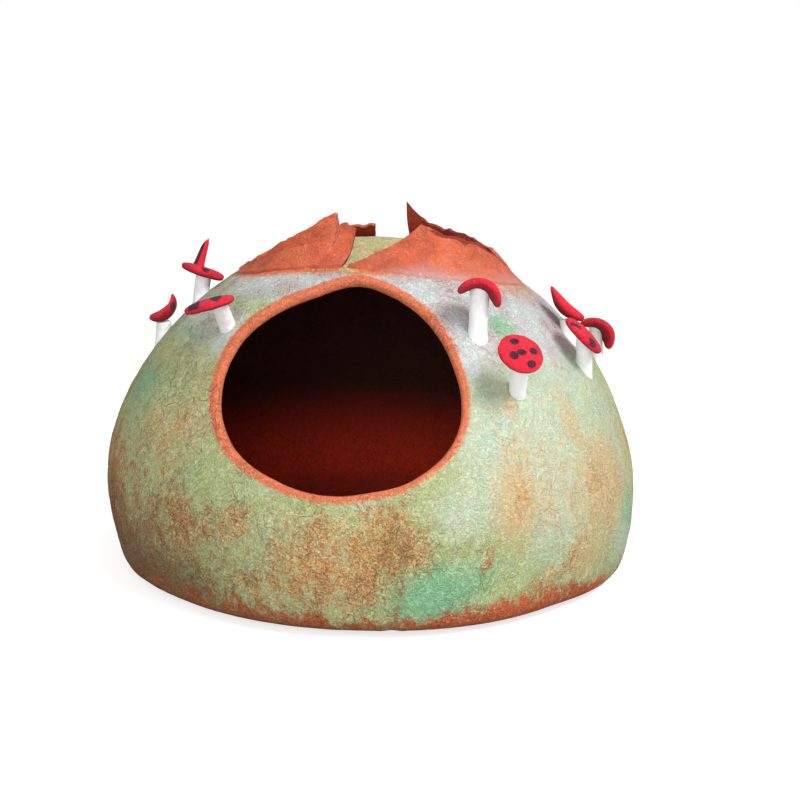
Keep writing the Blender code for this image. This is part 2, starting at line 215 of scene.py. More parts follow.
# Dark spots on the caps, by toadstool: where on the cap, and how long and wide in metres.
Spot = namedtuple("Spot", "toadstool u v length width turn under", defaults=[0, False])
SPOTS = table(
    Spot,
    (1, 0.16, -0.80, 0.0085, 0.0070), (1, -0.48, 0.84, 0.0040, 0.0130),
    (2, 0.50, -0.62, 0.0075, 0.0075, 0, True), (3, -0.50, -0.50, 0.0110, 0.0230),
    (3, 0.35, -0.30, 0.0100, 0.0240), (5, -0.45, 0.30, 0.0078, 0.0062, 20),
    (5, 0.00, -0.10, 0.0080, 0.0060, 35), (5, -0.25, -0.42, 0.0078, 0.0070),
    (5, 0.42, 0.25, 0.0072, 0.0062, 20), (5, 0.55, -0.42, 0.0084, 0.0066, 40),
    (7, 0.40, -0.70, 0.0100, 0.0080), (7, -0.55, -0.60, 0.0110, 0.0050),
    (6, -0.55, 0.55, 0.0110, 0.0060, 0, True), (8, 0.20, 0.40, 0.0080, 0.0060),
)

# ---- Where each colour of wool lies -------------------------------------------------------

# Ovals of wool on the wall: where, how wide and high in degrees, how thickly and how they lean.
Patch = namedtuple("Patch", "azimuth latitude width height amount tilt", defaults=[0])

WOOL_PATCHES = {
    "rust": table(
        Patch,
        (-50, -14, 52, 17, 0.3), (-59, -9, 12, 12, 0.68), (-78, -8, 16, 24, 0.68),
        (2, -12, 9.5, 11, 0.64), (13, -8, 8, 12, 0.62), (-18, -6, 5, 4, 0.42),
        (-14, -18, 10, 4, 0.4), (-31, -10, 7, 7, 0.48, 20), (-40, 6, 6, 7, 0.44, 10),
        (-32, 24, 6, 12, 0.24, -10), (-60, 22, 8, 6, 0.28), (39, -3, 3.5, 7, 0.44),
        (61, -3, 5, 8, 0.36), (88, -1, 5, 9, 0.36), (32, -12, 1.6, 4, 0.6, -25),
        (44, -19, 16, 3.0, 0.5, 25), (118, -4, 15, 14, 0.5), (150, 14, 13, 9, 0.45, 20),
        (168, -12, 18, 10, 0.5), (-116, -8, 18, 14, 0.5), (-142, 8, 12, 11, 0.45, -20),
        (-168, 22, 12, 7, 0.4),
    ),
    "tan": table(
        Patch,
        (38, -2, 4.6, 9, 0.85), (41, 19, 2.6, 5, 0.45), (58, 13, 3.0, 6, 0.55),
        (66, -3, 9.5, 10, 0.88), (54, -1, 26, 18, 0.42), (57, -16, 5, 5, 0.65),
        (86, -1, 7, 11, 0.72), (-42, 8, 14, 8, 0.55, 10), (-34, 26, 6, 14, 0.4, -10),
        (-64, 24, 9, 8, 0.45), (-2, -12, 14, 13, 0.55), (-50, -12, 26, 14, 0.45),
        (140, 0, 30, 16, 0.5), (-130, 0, 30, 16, 0.5),
    ),
    "teal": table(
        Patch,
        (20, -18, 9, 7, 0.92), (31, -14, 8, 4.5, 0.42, 20), (41, -15, 7, 4.5, 0.32),
        (77, -10, 9, 6, 0.5), (70, 11, 5, 5, 0.35), (-62, 15, 10, 8, 0.74), (-66, 28, 8, 5, 0.42),
        (-46, 1, 5, 6, 0.42), (51, 37, 5.5, 4.5, 0.95), (-56, 31, 9, 5, 0.5),
        (84, -12, 10, 6, 0.5), (50, -12, 8, 5, 0.3), (-38, 47, 10, 4, 0.35), (-11, -9, 7, 5, 0.42),
        (-28, 1, 6, 6, 0.36), (4, -20, 6, 4, 0.3), (135, -16, 12, 5, 0.6), (-160, -6, 10, 8, 0.6),
        (-95, 20, 9, 7, 0.55), (120, 22, 9, 6, 0.5),
    ),
    "pale": table(
        Patch,
        (36, 10, 14, 17, 0.85), (54, 6, 14, 20, 0.75), (47, -10, 6, 8, 0.55), (26, -3, 7, 5, 0.6),
        (8, -1, 9, 2.5, 0.45), (-12, 1, 8, 2.5, 0.35), (74, 6, 12, 20, 0.65), (62, 24, 18, 9, 0.8),
        (76, -15, 9, 7, 0.7), (100, 5, 16, 18, 0.5), (160, 5, 18, 10, 0.55),
        (-120, 14, 16, 14, 0.6), (-172, -6, 16, 12, 0.6), (126, 18, 14, 12, 0.5),
    ),
    "frost": table(
        Patch,
        (0, 55, 34, 4.5, 0.95), (-45, 49, 24, 6, 0.85), (-60, 34, 20, 8, 0.66),
        (-38, 32, 6, 8, 0.7), (24, 49, 12, 7, 0.95), (34, 34, 9, 13, 0.95), (50, 43, 22, 12, 0.92),
        (54, 29, 10, 6, 0.6), (72, 34, 18, 9, 0.95), (95, 36, 18, 8, 0.85), (130, 42, 24, 8, 0.75),
        (175, 48, 30, 8, 0.75), (-130, 42, 30, 8, 0.75), (-95, 38, 18, 8, 0.8),
    ),
    # Brown wool and painted shade: these patches paint the lower left and its base darker, where
    # shade falls.
    "brown_and_shade": table(
        Patch,
        (-78, -28, 28, 15, 1.0), (-45, -26, 30, 10, 1.0), (-46, -13, 27, 11, 0.42),
        (-60, -14, 12, 12, 0.45), (-84, -6, 10, 20, 0.4), (-92, 4, 14, 30, 0.5),
        (13, -12, 4, 12, 0.42), (-5, -27, 26, 4.5, 0.7), (-104, -10, 26, 16, 0.5),
    ),
    "crown": table(
        Patch,
        (-7, 68, 3.6, 8, 1.0), (0, 90, 90, 17, 1.0),
    ),
}

# By azimuth: the edge of the orange wool at the top, how far it fades, and the base's edge.
Edge = namedtuple("Edge", "azimuth top fade base")
EDGES = table(
    Edge,
    (-180, 58, 5, -24), (-135, 53, 5, -22), (-90, 47.5, 5, -21), (-57, 51, 4, -22),
    (-36, 56, 4, -22), (-11, 59.5, 4, -22), (8, 58, 5, -24.5), (24, 58, 9, -23),
    (41, 57.5, 13, -21), (57, 51.5, 16, -22), (73, 48, 16, -24.3), (90, 45.5, 15, -24),
    (120, 50, 8, -24), (150, 54, 6, -23), (180, 58, 5, -24),
)
HEM_FADE = 7              # over how many degrees the base's orange wool thins out

# ---- The studio ---------------------------------------------------------------------------

CAMERA_AIM = Vector((0, 0, 0.170))
CAMERA_ELEVATION = 12
CAMERA_AZIMUTH = 8.5
CAMERA_ROLL = 0.8
CAMERA_DISTANCE = 1.5
CAMERA_LENS = 71.145
CAMERA_SHIFT = (27 / 800, -22 / 800)

Softbox = namedtuple("Softbox", "azimuth elevation distance size")
KEY_SOFTBOX = Softbox(52, 44, 1.8, 0.7)
FILL_SOFTBOX = Softbox(0, 17, 2.0, 1.2)
FLOOR_RADIUS = 30
FLOOR_DROP = 0.0004       # how far the floor lies below the cave
WHITE = (1.0, 1.0, 1.0)


# ---- Settings -----------------------------------------------------------------------------


def colour_property(name, description, default):
    return FloatVectorProperty(
        name=name, description=description, subtype="COLOR", size=3, min=0, max=1, default=default
    )


def length_property(name, description, default):
    return FloatProperty(
        name=name, description=description, unit="LENGTH", subtype="DISTANCE", min=0, default=default
    )


class CaveWallSettings(PropertyGroup):
    felt: length_property("Felt", "Thickness of the felted wall", 0.009)
    roll: length_property("Rim roll", "How far the rounded rim rolls round", 0.0038)
    lumps: length_property("Lumps", "Height of the wall's soft unevenness", 0.0010)
    segments: IntProperty(name="Segments", description="Faces round the wall", default=384)
    lining_rows: IntProperty(name="Lining rows", description="Rows over the lining", default=34)
    rim_rows: IntProperty(name="Rim rows", description="Rows round the rim's roll", default=10)
    outside_rows: IntProperty(name="Outside rows", description="Rows outside", default=160)


class CaveWoolSettings(PropertyGroup):
    mint: colour_property("Mint", "Pale green wool of the wall", (0.52, 0.57, 0.29))
    sage: colour_property("Sage", "Darker green wool between the pale curls", (0.36, 0.40, 0.155))
    pale: colour_property("Pale mint", "Almost white mint wool", (0.53, 0.67, 0.53))
    cream: colour_property("Cream", "Yellowish wool among the pale mint", (0.57, 0.61, 0.45))
    teal: colour_property("Teal", "Teal patches", (0.22, 0.53, 0.30))
    rust: colour_property("Rust", "Rust patches", (0.42, 0.125, 0.034))
    tan: colour_property("Tan", "Light wool among the rust", (0.70, 0.43, 0.17))
    frost: colour_property("Frost", "Blue-white wool round the shoulder", (0.62, 0.66, 0.69))
    lilac: colour_property("Lilac", "Lilac wool among the frost", (0.60, 0.49, 0.52))
    # Brown wool and painted shade of the lower left.
    brown_and_shade: colour_property("Dusk", "Brown wool low on the left", (0.16, 0.062, 0.018))
    ember: colour_property("Ember", "Orange wool of the crown and the rim", (0.76, 0.20, 0.090))
    hem: colour_property("Hem", "Orange-brown wool along the base", (0.55, 0.088, 0.024))
    # Inside the cave: rust wool whose floor colour is made bright as painted light where light falls
    # in, and a near-black lining colour that is painted shade up inside.
    floor: colour_property("Floor", "Rust wool on the floor inside", (0.86, 0.056, 0.018))
    lining: colour_property("Lining", "Deep brown wool up inside", (0.055, 0.012, 0.004))
    crown: colour_property("Crown", "Yellow green of the crown", (0.70, 0.66, 0.32))


class CavePetalSettings(PropertyGroup):
    felt: length_property("Felt", "Thickness of the petals", 0.0034)
    wrinkles: length_property("Wrinkles", "Height of the petals' wrinkles", 0.0013)
    outside: colour_property("Outside", "Orange outside of the petals", (0.62, 0.098, 0.036))
    light: colour_property("Light", "Paler orange drifts of the petals", (0.74, 0.20, 0.105))
    # Painted shade: the inner faces and the rolled border are a darker, shaded copy of the orange.
    inside: colour_property("Inside", "Dark rust inside of the petals", (0.21, 0.028, 0.012))


class CaveToadstoolSettings(PropertyGroup):
    red: colour_property("Red", "Felt of the caps", (0.66, 0.007, 0.022))
    pink: colour_property("Pink", "Lighter hairs on the caps", (0.86, 0.060, 0.105))
    # Painted shade under the caps.
    shaded_underside: colour_property("Underside", "Darker felt under the caps", (0.30, 0.006, 0.012))
    spot: colour_property("Spots", "Dark spots on the caps", (0.020, 0.010, 0.018))
    plum: colour_property("Plum", "Lighter hairs in the dark spots", (0.30, 0.035, 0.080))
    white: colour_property("White", "Felt of the stems", (0.93, 0.93, 0.94))


class CaveStageSettings(PropertyGroup):
    floor: colour_property("Floor", "Plain pale floor", (0.50, 0.50, 0.50))
    glow: FloatProperty(name="Glow", description="Light that the floor adds to itself", default=0.72)
    sky: FloatProperty(name="Sky", description="Brightness of the white surroundings", default=0.62)
    key: FloatProperty(name="Key", description="Power of the softbox", unit="POWER", default=29)
    fill: FloatProperty(name="Fill", description="Power of the low fill", unit="POWER", default=17)


# ---- The wall's surface -------------------------------------------------------------------


def clamp(value):
    """The value, held between 0 and 1."""
    return max(0, min(1, value))


def through(xs, ys, x):
    """The smooth curve through a table's points, held straight past its ends."""
    last = len(xs) - 2
    k = max(i for i in range(last + 1) if i == 0 or xs[i] <= x)
    span = xs[k + 1] - xs[k]
    t = (x - xs[k]) / span

    def slope(i):
        low, high = max(i - 1, 0), min(i + 1, last + 1)
        return (ys[high] - ys[low]) / (xs[high] - xs[low])

    if not 0 <= t <= 1:
        end = k if t < 0 else k + 1
        return ys[end] + slope(end) * (x - xs[end])
    t2, t3 = t * t, t * t * t
    return (
        (2 * t3 - 3 * t2 + 1) * ys[k]
        + (t3 - 2 * t2 + t) * span * slope(k)
        + (3 * t2 - 2 * t3) * ys[k + 1]
        + (t3 - t2) * span * slope(k + 1)
    )


PROFILE_LATITUDES = [p.latitude for p in PROFILE]
PROFILE_RADII = [p.radius for p in PROFILE]
RIM_TURNS = [Rim(r.clock + turn, r.radius) for turn in (-360, 0, 360) for r in RIM]
RIM_CLOCKS = [r.clock for r in RIM_TURNS]
RIM_RADII = [r.radius for r in RIM_TURNS]


def from_oval(oval, azimuth, latitude, shrink):
    """The square of how far a place is from an oval's middle, 1 at the oval's edge.

    Shrink is the cosine of the latitude. The angles may be numbers or arrays.
    """
    across = ((azimuth - oval.azimuth + 180) % 360 - 180) * shrink
    along = latitude - oval.latitude
    turn = radians(oval.tilt)
    u = (across * cos(turn) + along * sin(turn)) / oval.width
    v = (along * cos(turn) - across * sin(turn)) / oval.height
    return u * u + v * v


def dent_depth(azimuth, latitude):
    depth = 0
    shrink = cos(radians(latitude))
    for dent in DENTS:
        away = from_oval(dent, azimuth, latitude, shrink)
        if away < 12:
            depth += dent.depth * exp(-away)
    return depth


def shell_radius(azimuth, latitude):
    """Distance from the heart to the outside of the wall, its flat base included."""
    side = through(PROFILE_LATITUDES, PROFILE_RADII, latitude) - dent_depth(azimuth, latitude)
    if latitude > -1:
        return side
    base = HEART.z / sin(radians(-latitude))
    overlap = max(BASE_ROUNDING - abs(side - base), 0) / BASE_ROUNDING
    return min(side, base) - overlap * overlap * BASE_ROUNDING / 4


def direction(azimuth, latitude):
    a, b = radians(azimuth), radians(latitude)
    return Vector((sin(a) * cos(b), -cos(a) * cos(b), sin(b)))


def angles(way):
    """The azimuth and latitude of a direction."""
    way = way.normalized()
    return degrees(atan2(way.x, -way.y)), degrees(asin(max(-1, min(1, way.z))))


def on_shell(azimuth, latitude, lift=0.0):
    """The point of the wall's outside at these angles, moved out along its normal by lift."""
    point = HEART + direction(azimuth, latitude) * shell_radius(azimuth, latitude)
    return point + shell_normal(azimuth, latitude) * lift if lift else point


def shell_normal(azimuth, latitude, step=0.5):
    across = on_shell(azimuth + step, latitude) - on_shell(azimuth - step, latitude)
    along = on_shell(azimuth, latitude + step) - on_shell(azimuth, latitude - step)
    return across.cross(along).normalized()


def height_over_shell(point):
    way = point - HEART
    return way.length - shell_radius(*angles(way))


def entrance_way(polar, clock):
    """The direction at this angle from the entrance's axis, by the clock round it."""
    outward = direction(0, ENTRANCE_LATITUDE)
    right = Vector((1, 0, 0))
    top = outward.cross(right)
    return outward * cos(polar) + (top * cos(clock) + right * sin(clock)) * sin(polar)


def lumps_at(point, lumps):
    """The sum of noises there, each with its lumps to a metre and its height."""
    return sum(noise.noise(point * pitch) * height for pitch, height in lumps)


# ---- Making objects -----------------------------------------------------------------------


def add_object(name, data):
    item = bpy.data.objects.new(name, data)
    bpy.context.scene.collection.objects.link(item)
    return item


def add_mesh(form, name, material):
    """Turns a bmesh into an object of one material."""
    mesh = bpy.data.meshes.new(name)
    form.to_mesh(mesh)
    form.free()
    mesh.materials.append(material)
    return add_object(name, mesh)


def finish(form, name, material, node):
    """Turns a bmesh into a smooth piece that rides on the body and replaces its solid."""
    piece = add_mesh(form, name, material)
    piece.data.shade_smooth()
    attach(piece, "root")
    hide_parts(node)
    return piece


def read(items, name, width=1):
    """One property of every item as an array, with this many numbers an item."""
    found = np.empty(len(items) * width, np.float32)
    items.foreach_get(name, found)
    return found.astype(float) if width == 1 else found.reshape(-1, width).astype(float)


def places(mesh):
    return read(mesh.vertices, "co", 3)


def write_attribute(mesh, name, values):
    old = mesh.attributes.get(name)
    if old:
        mesh.attributes.remove(old)
    layer = mesh.attributes.new(name, "FLOAT", "POINT")
    layer.data.foreach_set("value", np.asarray(values, np.float32))


def sky_angles(mesh):
    """The azimuth and latitude of each of a mesh's points, in degrees."""
    way = places(mesh) - np.array(HEART)
    length = np.linalg.norm(way, axis=1)
    azimuth = np.degrees(np.arctan2(way[:, 0], -way[:, 1]))
    return azimuth, np.degrees(np.arcsin(way[:, 2] / length))


def laid(rows, azimuth, latitude):
    """How thickly these patches of wool lie at each place, from 0 to 1."""
    bare = np.ones(len(azimuth))
    shrink = np.cos(np.radians(latitude))
    for patch in rows:
        away = from_oval(patch, azimuth, latitude, shrink)
        bare *= 1 - patch.amount * np.exp(-(away**1.3))
    return 1 - bare


def edge_at(azimuth, column):
    """One column of EDGES, read between its rows."""
    known = [edge.azimuth for edge in EDGES]
    return np.interp(azimuth, known, [getattr(edge, column) for edge in EDGES])


def lay_wool(mesh):
    """Writes how much of each colour of wool lies at each point of the wall."""
    azimuth, latitude = sky_angles(mesh)
    for name, rows in WOOL_PATCHES.items():
        write_attribute(mesh, name, laid(rows, azimuth, latitude))
    base = edge_at(azimuth, "base")
    write_attribute(mesh, "hem", np.clip((base - latitude) / HEM_FADE + 0.5, 0, 1))
    lay_ember(mesh)


def lay_ember(mesh):
    """Writes how much of the crown's orange wool lies at each point."""
    azimuth, latitude = sky_angles(mesh)
    top, fade = edge_at(azimuth, "top"), edge_at(azimuth, "fade")
    write_attribute(mesh, "ember", np.clip((latitude - top) / fade + 0.5, 0, 1))


# ---- Materials ----------------------------------------------------------------------------


FELT_SHADER = {
    "Roughness": 0.95,
    "Sheen Weight": 0.05,
    "Sheen Roughness": 0.6,
    "Specular IOR Level": 0.12,
}
WALL_BUMP = 0.0013       # how far the fibres stand up, in metres
DEEP_BUMP = 0.0014
SHALLOW_BUMP = 0.0009


class Nodes:
    """Adds nodes to a material or a world, wired as they are made."""

    def __init__(self, owner):
        owner.use_nodes = True
        self.owner = owner
        self.tree = owner.node_tree

    def feed(self, node, sockets):
        for name, value in sockets.items():
            socket = node.inputs[name]
            if isinstance(value, bpy.types.NodeSocket):
                self.tree.links.new(value, socket)
            elif hasattr(value, "__len__") and len(value) == 3 and socket.type == "RGBA":
                socket.default_value = (*value, 1)
            else:
                socket.default_value = value

    def node(self, kind, sockets=None, **settings):
        made = self.tree.nodes.new(kind)
        for name, value in settings.items():
            setattr(made, name, value)
        self.feed(made, sockets or {})
        return made

    def math(self, operation, first, second=0.0, third=0.0):
        sockets = {0: first, 1: second, 2: third}
        return self.node("ShaderNodeMath", sockets, operation=operation).outputs[0]

    def seen(self):
        """1 where the camera looks straight at it, 0 where its light falls."""
        return self.node("ShaderNodeLightPath").outputs["Is Camera Ray"]


class FeltNodes(Nodes):
    """The nodes of one felt material."""

    def __init__(self, name):
        super().__init__(bpy.data.materials.new(name))
        self.shader = self.tree.nodes["Principled BSDF"]
        self.feed(self.shader, FELT_SHADER)
        self.place = self.node("ShaderNodeTexCoord").outputs["Object"]

    def attribute(self, name):
        return self.node("ShaderNodeAttribute", attribute_name=name).outputs["Fac"]

    def noise(self, size, detail=2, roughness=0.5, distortion=0.0, place=None):
        """Noise whose lumps are about this far across, in metres."""
        sockets = {
            "Vector": place or self.place,
            "Scale": 1 / size,
            "Detail": detail,
            "Roughness": roughness,
            "Distortion": distortion,
        }
        return self.node("ShaderNodeTexNoise", sockets).outputs["Fac"]

    def stretched(self, scale, lean=0.0):
        """Object coordinates leaned over round the Y axis, then scaled along each axis."""
        turned = self.node("ShaderNodeMapping", {"Vector": self.place, "Rotation": (0, lean, 0)})
        sockets = {"Vector": turned.outputs[0], "Scale": scale}
        return self.node("ShaderNodeMapping", sockets).outputs[0]

    def add(self, first, second):
        return self.math("ADD", first, second)

    def times(self, first, second):
        return self.math("MULTIPLY", first, second)

    def rest(self, value):
        """What is left of 1."""
        return self.math("SUBTRACT", 1.0, value)

    def swing(self, field, amount):
        """A noise swung round 0 by this amount."""
        return self.times(self.math("SUBTRACT", field, 0.5), amount)

    def total(self, *pairs):
        """The sum of fields, each times its weight."""
        found = self.times(*pairs[0])
        for field, weight in pairs[1:]:
            found = self.add(found, self.times(field, weight))
        return found

    def step(self, value, low, high, to_low=0.0, to_high=1.0):
        """A soft step of the value from low to high."""
        sockets = {"Value": value, 1: low, 2: high, 3: to_low, 4: to_high}
        made = self.node("ShaderNodeMapRange", sockets, interpolation_type="SMOOTHSTEP")
        return made.outputs[0]

    def curls(self, size, distortion, sharpness):
        """Thin curling lines, 1 along them, where a distorted noise passes its middle."""
        field = self.noise(size, 1.5, 0.5, distortion)
        off = self.math("ABSOLUTE", self.math("SUBTRACT", field, 0.5))
        return self.step(off, 0.0, sharpness, 1.0, 0.0)

    def mix(self, share, under, over, blend="MIX"):
        made = self.node("ShaderNodeMix", data_type="RGBA", blend_type=blend)
        self.feed(made, {0: share, 6: under, 7: over})
        return made.outputs[2]

    def close(self, colour, height, distance, strength=1.0):
        """Wires the colour and the bump to the shader."""
        sockets = {"Height": height, "Distance": distance, "Strength": strength}
        bump = self.node("ShaderNodeBump", sockets)
        self.feed(self.shader, {"Normal": bump.outputs[0], "Base Color": colour})
        return self.owner


def felt_detail(felt):
    """The fibre pattern that every felt shares: curls, fine fuzz and a height from both."""
    coarse = felt.curls(0.0052, 1.6, 0.10)
    fine = felt.curls(0.0030, 2.2, 0.12)
    fuzz = felt.noise(0.0014, 3, 0.65)
    lump = felt.noise(0.009, 2, 0.5)
    return coarse, fine, fuzz, felt.total((coarse, 0.45), (fine, 0.35), (fuzz, 0.55), (lump, 0.8))


# How soft a wool's edge is, how much three noises break it up, and how thickly it covers.
Layer = namedtuple("Layer", "softness blotches flecks grains cover")
LAYERS = {
    "pale": Layer(0.45, 0.6, 0.6, 0.4, 0.92),
    "teal": Layer(0.35, 0.8, 1.0, 0.6, 0.85),
    "tan": Layer(0.40, 0.8, 0.9, 0.8, 0.84),
    "rust": Layer(0.24, 0.9, 1.2, 1.0, 0.85),
    "brown_and_shade": Layer(0.45, 0.5, 0.7, 0.9, 0.82),
    "frost": Layer(0.40, 0.9, 0.8, 0.4, 0.88),
    "hem": Layer(0.50, 0.8, 1.4, 1.4, 0.62),
    "ember": Layer(0.45, 0.3, 0.5, 0.5, 1.0),
    "crown": Layer(0.30, 0.9, 1.2, 1.0, 0.90),
}


class WallNodes(FeltNodes):
    """The wall's felt, with the noises that break its wools into one another."""

    def __init__(self, name):
        super().__init__(name)
        self.coarse, self.fine, self.fuzz, self.height = felt_detail(self)
        self.curly = self.math("MAXIMUM", self.coarse, self.times(self.fine, 0.8))
        tall = self.stretched((1, 1, 0.5))
        self.blotches = self.noise(0.034, 3, 0.6, 0.4, tall)
        self.flecks = self.noise(0.011, 4, 0.7, 0.8, tall)
        self.grains = self.noise(0.0045, 2, 0.6, 1.6)
        self.drift = self.noise(0.013, 4, 0.7, 1.0)

    def cover(self, name):
        """How much of one wool shows where it was laid."""
        layer = LAYERS[name]
        share = self.attribute(name)
        for noises in ("blotches", "flecks", "grains"):
            swung = self.swing(getattr(self, noises), getattr(layer, noises))
            share = self.add(share, swung)
        share = self.step(share, 0.5 - layer.softness, 0.5 + layer.softness)
        return self.times(share, layer.cover)


def mix_greens(felt, wool):
    """The wall's greens, with pale, teal and sandy wool among them, and how much teal shows."""
    green = felt.mix(felt.step(felt.drift, 0.34, 0.64), wool.sage, wool.mint)
    green = felt.mix(felt.times(felt.curly, 0.5), green, wool.mint)
    pale = felt.mix(felt.step(felt.flecks, 0.36, 0.64), wool.pale, wool.cream)
    green = felt.mix(felt.cover("pale"), green, pale)
    teal = felt.cover("teal")
    green = felt.mix(teal, green, wool.teal)
    sandy = felt.mix(felt.times(felt.curly, 0.35), wool.tan, wool.cream)
    return felt.mix(felt.cover("tan"), green, sandy), teal


def mix_hem(felt, wool, colour):
    """Lays the base's orange-brown wool over the colour, drawn up in leaning streaks."""
    # Painted shade: the hem darkens towards the brown where the brown-and-shade patches lie.
    hem = felt.mix(felt.times(felt.attribute("brown_and_shade"), 0.8), wool.hem, wool.brown_and_shade)
    hem = felt.mix(felt.times(felt.curly, 0.18), hem, wool.tan)
    streaks = felt.noise(0.012, 3, 0.6, 0.5, felt.stretched((1, 1, 0.45), 0.6))
    streaks = felt.step(felt.swing(streaks, 1.8), -0.25, 0.35)
    share = felt.add(felt.cover("hem"), felt.times(streaks, felt.attribute("hem")))
    return felt.mix(felt.step(share, 0.10, 0.74), colour, hem)


def mix_outside(felt, wool):
    """The outside of the wall: greens under rust, brown wool with painted shade, frost, the hem and
    the crown.
    """
    colour, teal = mix_greens(felt, wool)
    rusty = felt.mix(felt.times(felt.curly, 0.78), wool.rust, wool.tan)
    colour = felt.mix(felt.cover("rust"), colour, rusty)
    # Brown wool and painted shade over the lower left.
    colour = felt.mix(felt.cover("brown_and_shade"), colour, wool.brown_and_shade)
    frost = felt.mix(felt.step(felt.blotches, 0.40, 0.62), wool.frost, wool.lilac)
    frosty = felt.times(felt.cover("frost"), felt.rest(felt.times(teal, 0.9)))
    colour = mix_hem(felt, wool, felt.mix(frosty, colour, frost))
    colour = felt.mix(felt.cover("ember"), colour, wool.ember)
    crown = felt.mix(felt.step(felt.drift, 0.36, 0.60), wool.mint, wool.crown)
    return felt.mix(felt.cover("crown"), colour, crown)


def mix_inside(felt, wool, colour):
    """Lays the rim's orange over the colour, then the lining and the floor inside it, with painted
    light on the floor and painted shade higher up inside.
    """
    beyond = felt.attribute("rim_mm")
    ragged = felt.math("SUBTRACT", felt.add(felt.flecks, felt.grains), 1.0)
    inside = felt.step(felt.add(beyond, felt.times(ragged, 5.0)), 3.0, -1.5)
    # Painted light and shade inside: bright rust low on the floor, darkening with height to the
    # lining's painted shade.
    heights = felt.node("ShaderNodeSeparateXYZ", {"Vector": felt.place}).outputs["Z"]
    deep = felt.mix(felt.step(heights, 0.022, 0.122), wool.floor, wool.lining)
    return felt.mix(inside, colour, felt.mix(felt.step(beyond, -15, -28), wool.ember, deep))


def make_wall_felt():
    """Greens, rusts and whites broken into one another, with the orange of the edges, and painted
    light and shade of the fibres and furrows.
    """
    wool = bpy.context.scene.cave_wool
    felt = WallNodes("mottled_wall_felt")
    colour = mix_inside(felt, wool, mix_outside(felt, wool))
    # Painted light and shade of the fibres: the colour is multiplied by 0.60 to 1.23 by the fuzz and
    # curls, less where the wool is pale, and the furrows are painted darker as shaded crevices that
    # the bump also presses in.
    shade_contrast = felt.rest(felt.times(felt.attribute("pale"), 0.6))
    shaded_furrows = felt.times(felt.curls(0.015, 1.4, 0.045), felt.step(felt.blotches, 0.42, 0.60))
    shaded_furrows = felt.times(shaded_furrows, shade_contrast)
    shade = felt.total((felt.fuzz, 0.55), (felt.fine, 0.22), (felt.coarse, 0.20))
    shade = felt.step(shade, 0.15, 0.80, 0.60, 1.23)
    shade = felt.add(felt.times(felt.math("SUBTRACT", shade, 1.0), shade_contrast), 1.0)
    shade = felt.times(shade, felt.rest(felt.times(shaded_furrows, 0.28)))
    fibre_shade = felt.node("ShaderNodeCombineColor", {0: shade, 1: shade, 2: shade}).outputs[0]
    colour = felt.mix(1.0, colour, fibre_shade, "MULTIPLY")
    height = felt.math("SUBTRACT", felt.height, felt.times(shaded_furrows, 0.9))
    return felt.close(colour, height, WALL_BUMP, 0.9)


def make_plain_felt(name, base, lighter, darker):
    """One colour of wool with its own curls, paler and darker hairs."""
    felt = FeltNodes(name)
    coarse, fine, fuzz, height = felt_detail(felt)
    cloud = felt.noise(0.022, 3, 0.6, 0.4)
    colour = felt.mix(felt.step(cloud, 0.38, 0.64), base, darker)
    curls = felt.math("MAXIMUM", felt.times(coarse, 0.5), felt.times(fine, 0.6))
    colour = felt.mix(felt.times(curls, 0.6), colour, lighter)
    return felt, colour, fuzz, height


def scaled(colour, share):
    return tuple(min(1, channel * share) for channel in colour)


def make_petal_felt():
    wool, petal = bpy.context.scene.cave_wool, bpy.context.scene.cave_petals
    felt, colour, fuzz, height = make_plain_felt(
        "orange_petal_felt", petal.outside, petal.light, scaled(petal.outside, 0.66)
    )
    drift = felt.noise(0.035, 3, 0.6, 0.5)
    colour = felt.mix(felt.times(felt.step(drift, 0.42, 0.66), 0.6), colour, petal.light)
    share = felt.add(felt.attribute("ember"), felt.swing(drift, 0.9))
    colour = felt.mix(felt.step(share, 0.0, 1.0), wool.lilac, colour)
    # Painted shade on the inner side and the rolled border.
    shaded_inner = felt.mix(felt.step(fuzz, 0.3, 0.7), petal.inside, scaled(petal.inside, 1.6))
    colour = felt.mix(felt.step(felt.attribute("shaded_inner"), 0.35, 0.65), colour, shaded_inner)
    return felt.close(colour, height, DEEP_BUMP, 0.9)


def make_cap_felt():
    stool = bpy.context.scene.cave_toadstools
    felt, colour, fuzz, height = make_plain_felt(
        "red_cap_felt", stool.red, stool.pink, scaled(stool.red, 0.55)
    )
    # Painted shade: the caps' undersides are darker.
    colour = felt.mix(felt.attribute("under"), colour, stool.shaded_underside)
    spot = felt.step(felt.add(felt.attribute("spot"), felt.swing(fuzz, 0.6)), 1.22, 0.80)
    dark = felt.mix(felt.times(felt.step(fuzz, 0.42, 0.62), 0.30), stool.spot, stool.plum)
    colour = felt.mix(spot, colour, dark)
    return felt.close(colour, height, DEEP_BUMP, 0.7)


def make_stem_felt():
    stool = bpy.context.scene.cave_toadstools
    felt, colour, _, height = make_plain_felt(
        "white_stem_felt", stool.white, WHITE, scaled(stool.white, 0.96)
    )
    return felt.close(colour, height, SHALLOW_BUMP, 0.6)


# ---- Wall ---------------------------------------------------------------------------------


def crease_depth(point, creases):
    """How deep the creases press in at a point, in metres."""
    depth = 0
    for start, end, crease in creases:
        if (point - start).length > CREASE_FAR:
            continue
        run = end - start
        share = clamp((point - start).dot(run) / run.length_squared)
        away = (point - start - run * share).length / crease.width
        if away < 2.5:
            fade = min(1, 3 * min(share, 1 - share) + CREASE_END)
            lip = CREASE_LIP * exp(-((away - CREASE_LIP_AWAY) ** 2) * 3)
            depth += crease.depth * fade * (exp(-away * away) - lip)
    return depth


